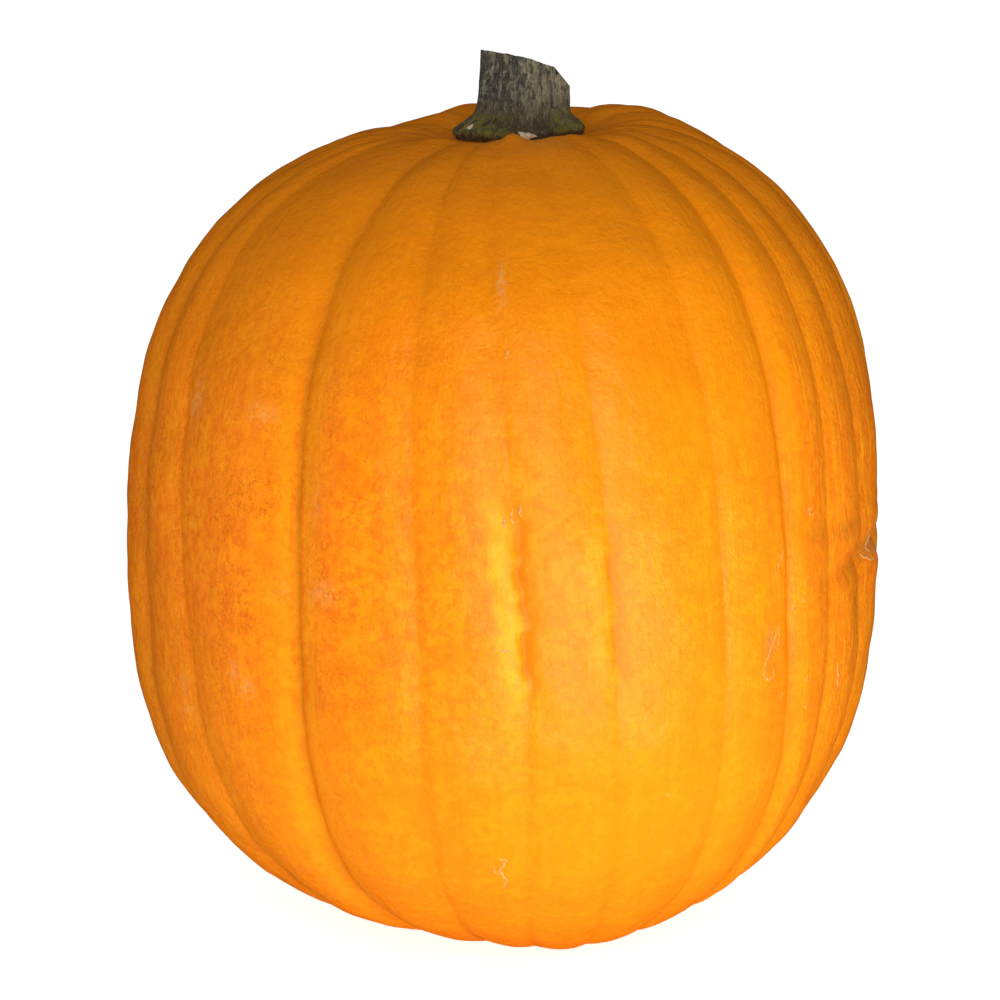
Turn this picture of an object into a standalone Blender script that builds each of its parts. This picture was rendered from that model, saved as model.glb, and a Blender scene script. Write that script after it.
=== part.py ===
"""Whole pumpkin: a ribbed fruit grown as one piece, and the cut stem that stands on its crown.

Units are metres. The origin is the centre of the flat spot that the fruit rests on, +Z is up
and -Y is the front. An azimuth of 0 faces the front, and a positive one turns towards +X.
"""

import math

import bmesh
import bpy
import numpy as np
from mathutils import Matrix

# ---- Fruit ----
GIRTH_RADIUS = 0.1387  # mean radius at the girth
CROWN_RISE = 0.1657  # girth up to the crown
BLOSSOM_DROP = 0.1362  # girth down to the blossom end
UPPER_FULLNESS = 2.71  # exponent of the profile above the girth: 2 is an ellipse, more is squarer
LOWER_FULLNESS = 2.36
SIDE_BULGE = -0.11  # share of the radius that the +X side stands out by, so the -X side is the fuller
HIGH_CHEEK = 0.022  # the same share, for +X above the girth and -X below it
LEAN = math.radians(3.0)  # the crown tips this far towards -X
REST_DEPTH = 0.1349  # middle of the girth down to the flat spot
REST_X = -0.006  # middle of the girth across and forward to the middle of the flat spot
REST_Y = -0.0052

HOLLOW_DEPTH = 0.0165  # hollow round the stem
HOLLOW_RADIUS = 0.031
SEAT_RADIUS = 0.027  # level seat under the stem
SEAT_BLEND = 0.007  # width over which the crown runs into the seat

# Slow swellings and dents of the rind: azimuth, lift and spread in degrees, then height.
SWELLS = (
    (-8, 77, 4, 0.0008),
    (33, 76, 5, 0.0006),
    (136, 69, 9, 0.0046),
    (108, 52, 12, -0.0024),
    (12, -68, 10, 0.0032),
    (62, -58, 14, -0.0008),
    (-82, -34, 14, 0.0008),
    (157, 71, 5, -0.0026),
    (-146, 66, 8, -0.0020),
    (-163, 72, 4.5, 0.0040),
    (125, 60, 9, -0.0018),
    (-122, 55, 9, -0.0014),
)

# Grooves of the front, from left to right: azimuth and depth, then how far each one drifts from its
# azimuth by the crown and how far it bows at the girth.
FRONT_GROOVES = (
    # azimuth, depth, drift, bow
    (-58, 0.0018, -8, -6),
    (-37, 0.0044, 2, -3),
    (-20, 0.0018, 2, -7),
    (-7, 0.0017, 0, -12),
    (8, 0.0017, -1, -5),
    (26, 0.0019, 0, -4),
    (42, 0.0034, -2, 3),
    (52, 0.0017, 2, 1),
    (65, 0.0020, 0, 0),
)
BACK_GROOVES = 13  # the others, spread evenly over the rest of the way round
BACK_DEPTH = 0.0026  # their mean depth
CREASE = 2.3  # exponent of a rib's rise from its groove: more makes a narrower groove
GROOVE_ROUNDING = 0.10  # of the bottom of a groove, as a share of half a rib
CROWN_FADE = 0.45  # share of the girth within which the grooves fade out, at each end
BLOSSOM_FADE = 0.48

PINCH_AZIMUTH = math.radians(72)  # short level fold across the right-hand ribs
PINCH_LIFT = math.radians(4)
PINCH_DEPTH = 0.0022
PINCH_LENGTH = math.radians(17)
PINCH_WIDTH = math.radians(2.6)

COLUMNS_PER_RIB = 4
FRUIT_ROWS = 58

# ---- Stem ----
STEM_CLEARANCE = 0.0003  # gap between the stem and its seat
STEM_HEIGHT = 0.040  # before it is cut
WAIST_RADIUS = 0.0164
WAIST_TAPER = 0.04  # radius lost over the height
FOOT_RADIUS = 0.0238
FOOT_HEIGHT = 0.0060  # height over which the foot draws in to the waist
FOOT_LOPSIDE = 0.0008  # the foot reaches further out and up on the left than on the right
FOOT_TUCK = 0.0024  # how far the foot curls in under its widest ring
TUCK_HEIGHT = 0.0022
STEM_DRIFT = 0.095  # the stem stands more upright than the fruit: its run towards +X over its height
RIDGES = 5
RIDGE_RELIEF = 0.055  # share of the radius
RIDGE_AZIMUTH = math.radians(-6)  # the front ridge
STEM_COLUMNS = 60
STEM_ROWS = 18
STEM_ROW_CROWDING = 1.5  # exponent that crowds the rows towards the foot
CUT_HEIGHT = 0.0255  # of the knife cut, on the stem's axis
CUT_FALL_RIGHT = math.radians(15)
CUT_FALL_BACK = math.radians(13)
CORNER_FALL = math.radians(30)  # the broken upper right corner
CORNER_REACH = 0.0094  # from the axis to where the broken corner starts

CUTTER_SIZE = 0.4


def clear_scene():
    for obj in list(bpy.data.objects):
        bpy.data.objects.remove(obj, do_unlink=True)


def new_collection(name, hidden=False):
    collection = bpy.data.collections.new(name)
    bpy.context.scene.collection.children.link(collection)
    collection.hide_render = hidden
    return collection


def principled(name, color, roughness, metallic=0.0):
    material = bpy.data.materials.new(name)
    material.use_nodes = True
    shader = material.node_tree.nodes["Principled BSDF"]
    shader.inputs["Base Color"].default_value = (*color, 1.0)
    shader.inputs["Roughness"].default_value = roughness
    shader.inputs["Metallic"].default_value = metallic
    return material


def smooth_step(low, high, value):
    share = np.clip((value - low) / (high - low), 0.0, 1.0)
    return share * share * (3.0 - 2.0 * share)


def grooves():
    """Azimuth, depth, drift and bow of every groove, once round from the front left."""
    front = np.array(FRONT_GROOVES, float)
    step = np.arange(1, BACK_GROOVES + 1)
    gap = (360.0 + front[0, 0] - front[-1, 0]) / (BACK_GROOVES + 1)
    azimuth = front[-1, 0] + gap * step + 2.4 * np.sin(2.1 * step)
    depth = BACK_DEPTH * (1.0 + 0.28 * np.sin(2.6 * step))
    drift = 3.0 * np.sin(1.3 * step)
    bow = 3.0 * np.cos(1.7 * step)
    rows = np.concatenate([front, np.stack([azimuth, depth, drift, bow], axis=1)])
    rows[:, [0, 2, 3]] = np.radians(rows[:, [0, 2, 3]])
    return rows


GROOVES = grooves()
RIBS = len(GROOVES)


def groove_azimuth(index, lift):
    """Azimuth of a groove at a lift: its own, and the drift and bow that it has there."""
    azimuth, _, drift, bow = GROOVES[index % RIBS].T
    share = lift / (math.pi / 2)
    return azimuth + 2 * math.pi * (index // RIBS) + drift * share + bow * (share * share - 0.3)


def groove_depth(index, lift):
    """Depth of a groove at a lift: its own along the sides, fading out towards both ends."""
    fade = np.where(lift > 0, CROWN_FADE, BLOSSOM_FADE)
    return GROOVES[index % RIBS, 1] * (1.0 - np.exp(-((np.cos(lift) / fade) ** 2)))


def swelling(azimuth, lift):
    """Sum of the swells: each a round hill that fades with the angle from its middle."""
    total = np.zeros_like(azimuth)
    for middle, middle_lift, spread, height in SWELLS:
        turn = azimuth - math.radians(middle)
        level = math.radians(middle_lift)
        cosine = np.sin(lift) * math.sin(level) + np.cos(lift) * math.cos(level) * np.cos(turn)
        total += height * np.exp((cosine - 1.0) / math.radians(spread) ** 2)
    return total


def fruit_surface(rib, lift):
    """Points of the rind. rib counts ribs round from the first groove, and lift is the angle above
    the girth. The distance from the middle of the girth is that of a superellipse, less the ribs'
    relief and the pinch. Then come the bulge, the hollow and seat of the crown, and the lean."""
    index = np.floor(rib).astype(int)
    across = rib - index
    left = groove_azimuth(index, lift)
    azimuth = left + across * (groove_azimuth(index + 1, lift) - left)

    rise = smooth_step(-0.35, 0.35, np.sin(lift))
    fullness = LOWER_FULLNESS + (UPPER_FULLNESS - LOWER_FULLNESS) * rise
    height = np.where(lift > 0, CROWN_RISE, BLOSSOM_DROP)
    wide = np.abs(np.cos(lift) / GIRTH_RADIUS) ** fullness
    tall = np.abs(np.sin(lift) / height) ** fullness
    distance = (wide + tall) ** (-1.0 / fullness)

    near = np.where(across < 0.5, index, index + 1)
    from_groove = 2.0 * np.minimum(across, 1.0 - across)
    from_groove = np.hypot(from_groove, GROOVE_ROUNDING) - GROOVE_ROUNDING
    distance -= groove_depth(near, lift) * (1.0 - from_groove) ** CREASE
    along = (azimuth - PINCH_AZIMUTH) / PINCH_LENGTH
    over = (lift - PINCH_LIFT) / PINCH_WIDTH
    distance -= PINCH_DEPTH * np.exp(-(along**4) - over**2)
    distance += swelling(azimuth, lift)

    ring = distance * np.cos(lift)
    cheek = HIGH_CHEEK * np.sin(2 * lift)
    ring *= 1.0 + (SIDE_BULGE + cheek) * np.sin(azimuth)
    z = distance * np.sin(lift)
    hollowed = z - HOLLOW_DEPTH * np.exp(-((ring / HOLLOW_RADIUS) ** 2))
    level = smooth_step(SEAT_RADIUS, SEAT_RADIUS + SEAT_BLEND, ring)
    z = np.where(lift > 0, SEAT_HEIGHT + (hollowed - SEAT_HEIGHT) * level, z)
    return lean(ring * np.sin(azimuth), -ring * np.cos(azimuth), z)


def lean(x, y, z):
    """Tips points about the middle of the girth, then puts the flat spot's middle on the origin."""
    leaning_x = x * math.cos(LEAN) - z * math.sin(LEAN)
    leaning_z = x * math.sin(LEAN) + z * math.cos(LEAN)
    return leaning_x - REST_X, y - REST_Y, leaning_z + REST_DEPTH


SEAT_HEIGHT = CROWN_RISE - HOLLOW_DEPTH * math.exp(-((SEAT_RADIUS / HOLLOW_RADIUS) ** 2))


def set_points(mesh_verts, x, y, z):
    for vert, point in zip(mesh_verts, np.stack([x, y, z], axis=1)):
        vert.co = point


def finish_mesh(bm, name, material, collection):
    """Puts a bmesh into a new smooth-shaded object."""
    bmesh.ops.recalc_face_normals(bm, faces=bm.faces)
    for face in bm.faces:
        face.smooth = True
    mesh = bpy.data.meshes.new(name)
    bm.to_mesh(mesh)
    bm.free()
    mesh.materials.append(material)
    obj = bpy.data.objects.new(name, mesh)
    collection.objects.link(obj)
    return obj


def make_fruit(collection):
    """A UV sphere, with its meridians moved onto the grooves and the ribs between them."""
    bm = bmesh.new()
    columns = RIBS * COLUMNS_PER_RIB
    bmesh.ops.create_uvsphere(bm, u_segments=columns, v_segments=FRUIT_ROWS, radius=1.0)
    x, y, z = np.array([vert.co for vert in bm.verts]).T
    turn = np.round(np.arctan2(y, x) / (2 * math.pi) * columns) % columns
    lift = np.arcsin(np.clip(z, -1.0, 1.0))
    set_points(bm.verts, *fruit_surface(turn / COLUMNS_PER_RIB, lift))
    rind = principled("pumpkin_rind", (0.75, 0.24, 0.01), 0.42)
    return finish_mesh(bm, "fruit", rind, collection)


def stem_radius(azimuth, height):
    """The waist, widening to the foot near the seat, tucked in under it, with rounded ridges."""
    waist = WAIST_RADIUS - WAIST_TAPER * height
    side = np.sin(azimuth)
    foot = np.exp(-((height / (FOOT_HEIGHT * (1.0 - 0.12 * side))) ** 3))
    tuck = FOOT_TUCK * np.exp(-((height / TUCK_HEIGHT) ** 2))
    radius = waist + (FOOT_RADIUS - FOOT_LOPSIDE * side - waist) * foot - tuck
    return radius * (1.0 + RIDGE_RELIEF * np.cos(RIDGES * (azimuth - RIDGE_AZIMUTH)))


def make_stem(collection, cutters):
    """A cylinder with rings round it, shaped ring by ring, then cut by the knife and at the corner."""
    bm = bmesh.new()
    bmesh.ops.create_cone(
        bm, cap_ends=True, segments=STEM_COLUMNS, radius1=1.0, radius2=1.0, depth=1.0
    )
    bmesh.ops.translate(bm, vec=(0.0, 0.0, 0.5), verts=bm.verts)
    for height in np.linspace(0.0, 1.0, STEM_ROWS)[1:-1] ** STEM_ROW_CROWDING:
        whole = bm.verts[:] + bm.edges[:] + bm.faces[:]
        bmesh.ops.bisect_plane(bm, geom=whole, plane_co=(0.0, 0.0, height), plane_no=(0.0, 0.0, 1.0))
    x, y, z = np.array([vert.co for vert in bm.verts]).T
    azimuth = np.arctan2(x, -y)
    height = STEM_HEIGHT * z
    radius = stem_radius(azimuth, height)
    across = radius * np.sin(azimuth) + STEM_DRIFT * height
    level = SEAT_HEIGHT + STEM_CLEARANCE + height
    set_points(bm.verts, *lean(across, -radius * np.cos(azimuth), level))
    stem = finish_mesh(bm, "stem", principled("stem_bark", (0.10, 0.09, 0.06), 0.8), collection)

    axis = Matrix.Translation(lean(STEM_DRIFT * CUT_HEIGHT, 0.0, SEAT_HEIGHT + CUT_HEIGHT))
    knife = Matrix.Rotation(CUT_FALL_RIGHT, 4, "Y") @ Matrix.Rotation(-CUT_FALL_BACK, 4, "X")
    corner = Matrix.Translation((CORNER_REACH, 0.0, 0.0)) @ Matrix.Rotation(CORNER_FALL, 4, "Y")
    cut_away(stem, "knife_cut", axis @ knife, cutters)
    cut_away(stem, "broken_corner", axis @ knife @ corner, cutters)
    return stem


def cut_away(target, name, place, cutters):
    """Removes what lies above the XY plane of place, by a Boolean with a large box."""
    bm = bmesh.new()
    bmesh.ops.create_cube(bm, size=CUTTER_SIZE)
    bmesh.ops.translate(bm, vec=(0.0, 0.0, CUTTER_SIZE / 2), verts=bm.verts)
    mesh = bpy.data.meshes.new(name)
    bm.to_mesh(mesh)
    bm.free()
    cutter = bpy.data.objects.new(name, mesh)
    cutter.matrix_world = place
    cutter.display_type = "WIRE"
    cutter.hide_render = True
    cutters.objects.link(cutter)
    boolean = target.modifiers.new(name, "BOOLEAN")
    boolean.operation = "DIFFERENCE"
    boolean.solver = "EXACT"
    boolean.object = cutter


def main():
    clear_scene()
    pumpkin = new_collection("pumpkin")
    cutters = new_collection("cutters", hidden=True)
    fruit = make_fruit(pumpkin)
    cut_away(fruit, "rest_spot_cut", Matrix.Rotation(math.pi, 4, "X"), cutters)
    make_stem(pumpkin, cutters)


main()
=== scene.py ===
"""Looks of a whole pumpkin: a waxy ribbed rind, its cork scars, a weathered stem and a pale studio.

The file is laid out as an add-on and run as a script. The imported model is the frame. The rind and
the stem are worked out again on fine grids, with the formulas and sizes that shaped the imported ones.
Units are metres. An azimuth of 0 faces the front (-Y), and a positive one turns towards +X. Lift is
the angle above the girth. A rib coordinate counts ribs round from the groove at the front left.
"""

import math

import bpy
import numpy as np
from bpy.props import FloatProperty, FloatVectorProperty, IntProperty, PointerProperty
from mathutils import Matrix, Vector


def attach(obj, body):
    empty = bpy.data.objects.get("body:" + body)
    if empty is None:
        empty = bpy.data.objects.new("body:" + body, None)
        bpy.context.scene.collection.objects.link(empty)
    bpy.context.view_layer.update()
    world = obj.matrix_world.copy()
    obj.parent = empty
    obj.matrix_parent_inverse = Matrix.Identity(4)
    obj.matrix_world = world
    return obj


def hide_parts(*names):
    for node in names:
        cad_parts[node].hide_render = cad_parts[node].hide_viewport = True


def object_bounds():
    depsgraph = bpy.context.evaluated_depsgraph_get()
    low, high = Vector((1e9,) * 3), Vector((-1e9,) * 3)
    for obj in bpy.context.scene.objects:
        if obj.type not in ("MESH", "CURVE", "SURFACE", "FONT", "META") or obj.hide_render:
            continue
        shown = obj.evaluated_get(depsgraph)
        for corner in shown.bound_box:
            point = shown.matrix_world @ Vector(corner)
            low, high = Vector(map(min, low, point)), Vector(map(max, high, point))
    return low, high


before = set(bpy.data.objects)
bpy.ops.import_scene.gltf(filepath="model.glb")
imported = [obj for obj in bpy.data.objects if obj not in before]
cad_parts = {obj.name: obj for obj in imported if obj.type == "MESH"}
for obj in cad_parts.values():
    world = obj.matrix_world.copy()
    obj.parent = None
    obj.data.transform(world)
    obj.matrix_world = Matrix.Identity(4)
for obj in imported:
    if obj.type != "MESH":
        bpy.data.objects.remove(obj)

CAD_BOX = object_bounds()

bl_info = {
    "name": "Whole Pumpkin",
    "version": (1, 0, 0),
    "blender": (4, 5, 0),
    "location": "View3D > Sidebar > Pumpkin",
    "description": "Makes a ribbed pumpkin with its rind, cork scars, cut stem and a pale studio",
    "category": "Add Mesh",
}

MM = 0.001
DEG = math.pi / 180

# ---- Fruit, as packed ----
GIRTH_RADIUS = 0.1387
CROWN_RISE = 0.1657
BLOSSOM_DROP = 0.1362
UPPER_FULLNESS = 2.71
LOWER_FULLNESS = 2.36
SIDE_BULGE = -0.11
HIGH_CHEEK = 0.022
LEAN = 3.0 * DEG
REST_DEPTH = 0.1349
REST_X = -0.006
REST_Y = -0.0052
HOLLOW_DEPTH = 0.0165
HOLLOW_RADIUS = 0.031
SEAT_RADIUS = 0.027
SEAT_BLEND = 0.007
SEAT_HEIGHT = CROWN_RISE - HOLLOW_DEPTH * math.exp(-((SEAT_RADIUS / HOLLOW_RADIUS) ** 2))

# Slow swellings and dents: azimuth, lift and spread in degrees, then height.
SWELLS = (
    (-8, 77, 4, 0.0008),
    (33, 76, 5, 0.0006),
    (136, 69, 9, 0.0046),
    (108, 52, 12, -0.0024),
    (12, -68, 10, 0.0032),
    (62, -58, 14, -0.0008),
    (-82, -34, 14, 0.0008),
    (157, 71, 5, -0.0026),
    (-146, 66, 8, -0.0020),
    (-163, 72, 4.5, 0.0040),
    (125, 60, 9, -0.0018),
    (-122, 55, 9, -0.0014),
)

# Grooves of the front, from left to right: azimuth in degrees, depth, drift and bow in degrees.
FRONT_GROOVES = (
    (-58, 0.0018, -8, -6),
    (-37, 0.0044, 2, -3),
    (-20, 0.0018, 2, -7),
    (-7, 0.0017, 0, -12),
    (8, 0.0017, -1, -5),
    (26, 0.0019, 0, -4),
    (42, 0.0034, -2, 3),
    (52, 0.0017, 2, 1),
    (65, 0.0020, 0, 0),
)
BACK_GROOVES = 13
BACK_DEPTH = 0.0026
CREASE = 2.3
GROOVE_ROUNDING = 0.10
CROWN_FADE = 0.45
BLOSSOM_FADE = 0.48
PINCH_AZIMUTH = 72 * DEG
PINCH_LIFT = 4 * DEG
PINCH_DEPTH = 0.0022
PINCH_LENGTH = 17 * DEG
PINCH_WIDTH = 2.6 * DEG

# ---- Stem, as packed ----
STEM_CLEARANCE = 0.0003
WAIST_RADIUS = 0.0164
WAIST_TAPER = 0.04
FOOT_RADIUS = 0.0238
FOOT_HEIGHT = 0.0060
FOOT_LOPSIDE = 0.0008
FOOT_SLANT = 0.12  # how much lower the foot is on the right, as a share
FOOT_TUCK = 0.0024
TUCK_HEIGHT = 0.0022
STEM_DRIFT = 0.095
RIDGES = 5
RIDGE_RELIEF = 0.055
RIDGE_AZIMUTH = -6 * DEG
CUT_HEIGHT = 0.0255
CUT_FALL_RIGHT = 15 * DEG
CUT_FALL_BACK = 13 * DEG
CORNER_FALL = 30 * DEG
CORNER_REACH = 0.0094

# ---- Finer shape of the rind ----
COLUMNS_PER_RIB = 16
GROOVE_CROWDING = 0.72  # how much the columns crowd towards the grooves, from 0 to 1
RIND_ROWS = 276
SEAM_RIB = 13  # the column seam runs down this groove, at the back
RIB_WIDTH = 0.040  # of a usual rib at the girth, the unit of the lengthwise map
CREASE_DEPTH = 0.0006
CREASE_WIDTH = 0.0013
DEEP_GROOVE = 0.0044  # a groove of this depth has the full crease
CREASE_FADE = (25, 58)  # lifts between which the crease dies out towards the crown
UNDER_STEM = (0.10, 0.16)  # cosines of lift between which the fine relief dies out under the stem
SETTLE = 0.8 * MM  # how softly the rind turns onto the flat spot
BLOSSOM_RADIUS = 0.0095  # corky scar where the flower was, sunk into the flat spot
BLOSSOM_FLAT = 0.55  # share of that radius over which it is sunk fully
BLOSSOM_SINK = 0.0022
BLOSSOM_RIPPLE = 0.2  # share of the sink that its rings take up
BLOSSOM_RING = 0.0026
UNDERSIDE = 0.02  # height below which the rind belongs to the underside

# Lumps of the rind: height, wavelength and seed.
RIND_LUMPS = ((0.00040, 0.046, 11), (0.00013, 0.017, 12), (0.00005, 0.0068, 13))

# Slits where a groove has split and healed: groove, lowest and highest lift in degrees, depth.
SLITS = ((3, -4, 22, 0.0011), (4, -3, 19, 0.0004))
SLIT_WIDTH = 0.0026
SLIT_EDGE = 0.0005  # half the width of the step at its torn edge, on the left
SLIT_FADE = 3  # degrees of lift over which a slit ends
# The slit's deeper colour is painted shade in its sunk side.
SLIT_SHADE = 0.0046  # half the width of its deeper colour
LIP_OFFSET = 0.0036  # the rind stands up in a lip to the left of a slit
LIP_HEIGHT = 0.0009
# The lip's pale band is a painted highlight on its raised crest.
LIP_MIDDLE = 0.0050  # of its pale band
LIP_BAND = 0.0040
TORN_WAVES = ((0.0009, 0.0041, 0.0), (0.0006, 0.0017, 1.0), (0.0003, 0.0009, 0.0))  # width, length, phase

# Folds along the pinch: a narrow one in its middle and softer ones beside it. Widths, spreads and
# the rate are in widths of the pinch, and the reach is in lengths of it.
FOLD_REACH = 1.3
FOLD_DEPTH = 0.0009
FOLD_WIDTH = 0.35
SIDE_FOLD_DEPTH = 0.0004
SIDE_FOLD_RATE = 2.2
SIDE_FOLD_SPREAD = 2.4

# Lobes of the crown that rise against the stem's foot: azimuth in degrees, half width, height.
FRONT_LOBES = (
    (-6, 0.0040, 0.0030), (26, 0.0085, 0.0014), (-48, 0.0060, 0.0014), (76, 0.0075, 0.0014),
    (-100, 0.0080, 0.0012), (128, 0.0070, 0.0014), (180, 0.0080, 0.0016), (-140, 0.0070, 0.0012),
)
CROWN_SPREAD = 1.15  # how much further out the full crown lies than a sphere's would
LOBE_REACH = 0.0335  # from the stem's axis to a lobe's top
LOBE_LENGTH = 0.008
LOBE_POWER = 1.6  # below 2, a lobe's crest is narrower than a bell curve's

# Waxy scuffs of the rind: azimuth and lift in degrees, half width and half height in millimetres.
SCUFFS = (
    (-32, 23, 1.8, 4.5), (-31, 11, 5, 3.4), (-38, 10.5, 1.2, 3.4), (-57, 33, 3, 5.5), (-42, 33, 3, 3),
    (-46, -2, 2.4, 3), (-44, -4.5, 2.4, 3), (-58, -7, 2, 3.5), (-58, -11, 2.6, 2.2), (-5, 49, 1.2, 6),
    (101, 28, 6, 9), (150, -12, 10, 4), (-118, 14, 7, 12), (-150, -30, 5, 8), (178, 35, 8, 5),
)

# Brown bruises; the first four lie along the pinch's fold and are painted shadow there. Azimuth and lift,
# half width and half height, strength.
BRUISES_AND_FOLD_SHADE = (
    (46, 11.5, 9, 3.2, 0.55), (57, 10, 9, 3.6, 0.75), (68, 5, 12, 4.5, 0.9), (84, 3.5, 22, 3.0, 0.8),
    (62, -3, 7, 16, 0.5), (36, -3, 4, 7, 0.35), (-135, -5, 9, 5, 0.35), (160, 20, 6, 12, 0.3),
)

# Corky tan patches: azimuth and lift, half width and half height.
CORK_PATCHES = ((71, 5, 6, 5), (77, 2.5, 9, 2.5), (35.5, -2, 1.6, 5), (-128, 30, 3, 6))

# Parts of the rind that differ in colour, and a front band of painted light: azimuths in degrees over which
# one fades in, then out.
SUNNY_SIDE = ((22, 60), (126.05, 166.16))
# The yellower band on the front, where the softbox falls, is painted light.
PAINTED_LIGHT_FRONT = ((-26, 16), (28, 52))
SPECKLED_SIDE = (-45, 20)  # the specks thin out from left to right between these
SPECKLED_TOP = (12, 30)  # and grow denser upwards between these lifts
TOP_SPECKS = 0.6  # how dense they grow there
FEWEST_SPECKS = 0.35


def smooth_step(low, high, value):
    share = np.clip((value - low) / (high - low), 0.0, 1.0)
    return share * share * (3.0 - 2.0 * share)


def waves(points, wavelength, seed, count=20):
    """Smooth lumps, mostly between -1 and 1: the sum of cosine waves of about one wavelength that
    run in random directions."""
    draw = np.random.default_rng(seed)
    directions = draw.normal(size=(3, count))
    directions /= np.linalg.norm(directions, axis=0)
    lengths = wavelength * draw.uniform(0.7, 1.4, count)
    phases = draw.uniform(0.0, 2 * math.pi, count)
    return np.cos(points @ (directions * 2 * math.pi / lengths) + phases).sum(-1) / math.sqrt(count)


def layered_waves(points, table):
    """The sum of several sets of waves: the table gives height, wavelength, seed and, if not 20, count."""
    return sum(height * waves(points, *rest) for height, *rest in table)


# ---- Rind surface ----


def grooves():
    """Azimuth, depth, drift and bow of every groove, once round from the front left."""
    front = np.array(FRONT_GROOVES, float)
    step = np.arange(1, BACK_GROOVES + 1)
    gap = (360.0 + front[0, 0] - front[-1, 0]) / (BACK_GROOVES + 1)
    azimuth = front[-1, 0] + gap * step + 2.4 * np.sin(2.1 * step)
    depth = BACK_DEPTH * (1.0 + 0.28 * np.sin(2.6 * step))
    drift = 3.0 * np.sin(1.3 * step)
    bow = 3.0 * np.cos(1.7 * step)
    rows = np.concatenate([front, np.stack([azimuth, depth, drift, bow], axis=1)])
    rows[:, [0, 2, 3]] *= DEG
    return rows


GROOVES = grooves()
RIBS = len(GROOVES)


def groove_azimuth(index, lift):
    """Azimuth of a groove at a lift: its own, and the drift and bow that it has there."""
    azimuth, _, drift, bow = np.moveaxis(GROOVES[index % RIBS], -1, 0)
    share = lift / (math.pi / 2)
    return azimuth + 2 * math.pi * (index // RIBS) + drift * share + bow * (share * share - 0.3)


def groove_depth(index, lift):
    """Depth of a groove at a lift: its own along the sides, fading out towards both ends."""
    fade = np.where(lift > 0, CROWN_FADE, BLOSSOM_FADE)
    return GROOVES[index % RIBS, 1] * (1.0 - np.exp(-((np.cos(lift) / fade) ** 2)))


def rib_at(azimuth, lift):
    """Rib coordinate of an azimuth: its place between the grooves on either side."""
    index = np.arange(-RIBS, 2 * RIBS)
    edges = groove_azimuth(index[:, None], lift[None, :])
    below = (edges <= azimuth).sum(axis=0) - 1
    here = np.arange(len(lift))
    left, right = edges[below, here], edges[below + 1, here]
    return index[below] + (azimuth - left) / (right - left)


def swelling(azimuth, lift):
    """Sum of the swells: each a round hill that fades with the angle from its middle."""
    total = np.zeros_like(azimuth)
    for middle, middle_lift, spread, height in SWELLS:
        turn = azimuth - middle * DEG
        level = middle_lift * DEG
        cosine = np.sin(lift) * math.sin(level) + np.cos(lift) * math.cos(level) * np.cos(turn)
        total += height * np.exp((cosine - 1.0) / (spread * DEG) ** 2)
    return total


def lean(x, y, z):
    """Tips points about the middle of the girth, then puts the flat spot's middle on the origin."""
    leaning_x = x * math.cos(LEAN) - z * math.sin(LEAN)
    leaning_z = x * math.sin(LEAN) + z * math.cos(LEAN)
    return np.stack([leaning_x - REST_X, y - REST_Y, leaning_z + REST_DEPTH], axis=-1)


GIRTH_MIDDLE = lean(0.0, 0.0, 0.0)
STEM_AXIS = lean(STEM_DRIFT, 0.0, 1.0) - GIRTH_MIDDLE


def wrapped(angle):
    """An angle brought between minus half a turn and half a turn."""
    return (angle + math.pi) % (2 * math.pi) - math.pi


class RindPlace:
    """Where points of the rind lie: rib coordinate and lift, and what follows from them. Aside is
    the distance from the nearest groove, and is positive to the right of it."""

    def __init__(self, rib, lift):
        self.lift = lift
        index = np.floor(rib).astype(int)
        across = rib - index
        left = groove_azimuth(index, lift)
        right = groove_azimuth(index + 1, lift)
        self.azimuth = left + across * (right - left)
        self.near = np.where(across < 0.5, index, index + 1)
        from_groove = 2.0 * np.minimum(across, 1.0 - across)
        half_rib = GIRTH_RADIUS * np.cos(lift) * 0.5 * (right - left)
        self.aside = half_rib * from_groove * np.where(across < 0.5, 1.0, -1.0)
        self.from_groove = np.hypot(from_groove, GROOVE_ROUNDING) - GROOVE_ROUNDING
        self.depth = groove_depth(self.near, lift)

    def spot(self, azimuth, lift, half_width, half_height):
        """A soft oval patch, 1 in its middle. Half sizes are in millimetres along the rind."""
        along = wrapped(self.azimuth - azimuth * DEG) * GIRTH_RADIUS * math.cos(lift * DEG)
        over = (self.lift - lift * DEG) * GIRTH_RADIUS
        return np.exp(-((along / (half_width * MM)) ** 2) - (over / (half_height * MM)) ** 2)

    def slit_share(self, groove, lowest, highest):
        """1 along the stretch of a groove between two lifts in degrees, fading at its ends."""
        inside = smooth_step(lowest - SLIT_FADE, lowest + SLIT_FADE, self.lift / DEG)
        inside = inside * (1.0 - smooth_step(highest - SLIT_FADE, highest + SLIT_FADE, self.lift / DEG))
        return inside * (self.near % RIBS == groove)


def ragged_edge(lift):
    """How far the torn edge of a slit wanders sideways: three unequal sine waves along it."""
    along = GIRTH_RADIUS * lift
    return sum(width * np.sin(along / length + phase) for width, length, phase in TORN_WAVES)


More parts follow.
